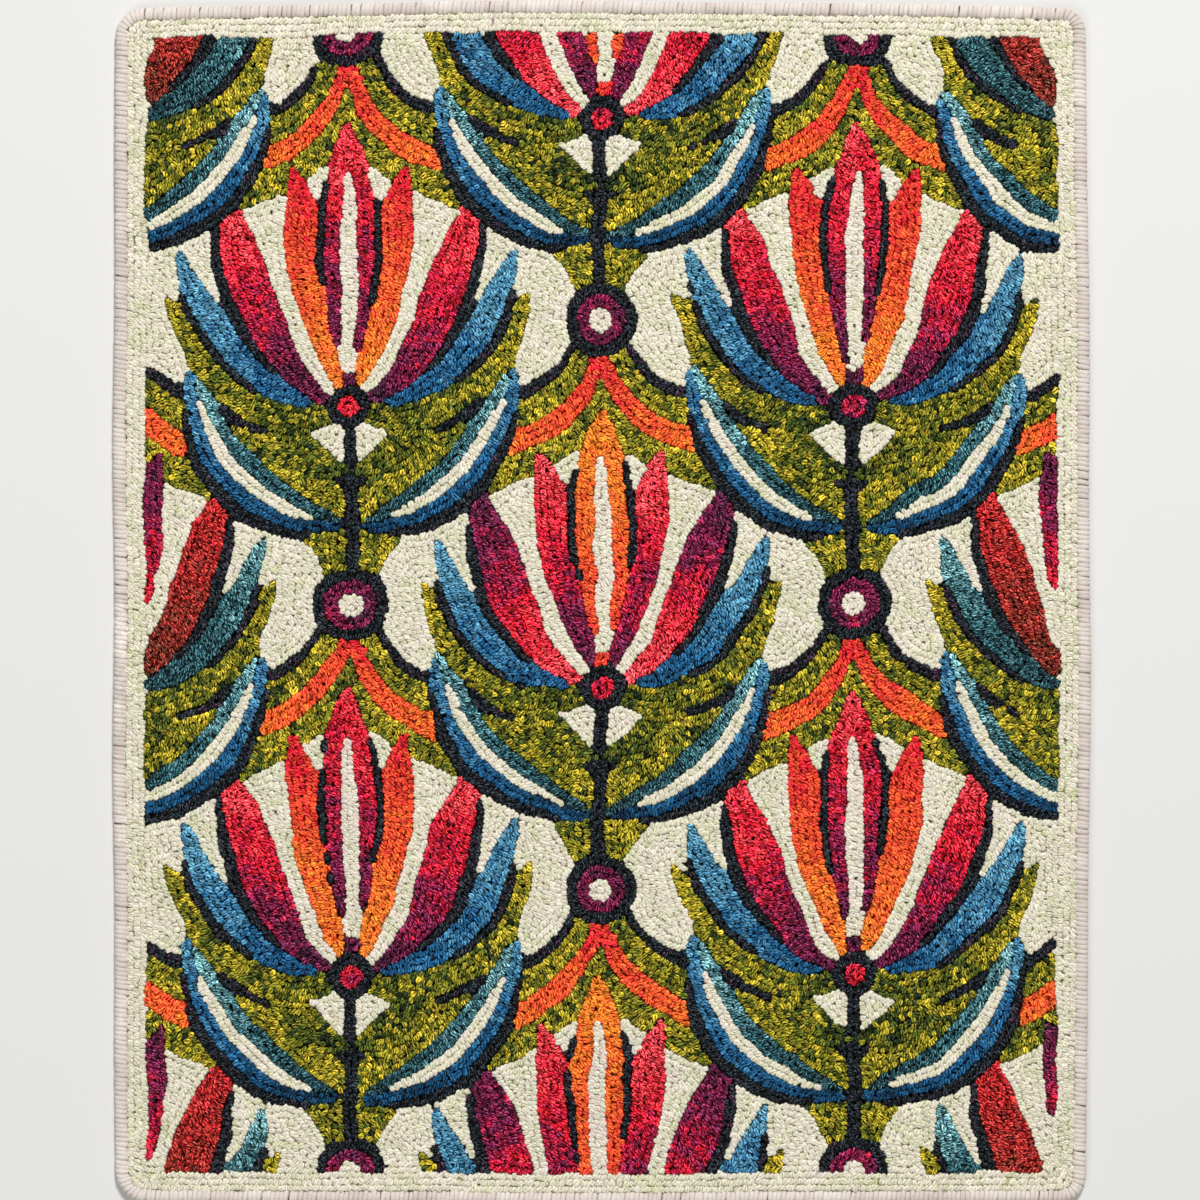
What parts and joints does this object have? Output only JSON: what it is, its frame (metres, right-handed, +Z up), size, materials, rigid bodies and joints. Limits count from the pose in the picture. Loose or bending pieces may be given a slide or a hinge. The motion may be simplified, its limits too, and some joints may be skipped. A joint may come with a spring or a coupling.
{
  "type": "hooked rug",
  "caption": "Small rectangular floor rug of hooked wool loops on a linen foundation cloth, with rounded corners and a yarn-whipped edge, lying flat with its pile up.",
  "frame": {"origin": "centre of the underside, on the surface that the rug lies on", "axes": "+Z up through the pile, +Y along the rug's length towards its upper end, +X across its width"},
  "size_m": [0.66, 0.813, 0.0075],
  "materials": {
    "linen_foundation": "matt plain-woven linen, with the flat backs of the wool loops on its underside",
    "wool_pile": "matt hooked wool loops in many dyed colours",
    "whipping_yarn": "matt wool yarn wound side by side over the rim"
  },
  "bodies": {
    "root": {"foundation": "linen_foundation", "hooked_pile": "wool_pile", "whipped_edge": "whipping_yarn"}
  },
  "joints": []
}
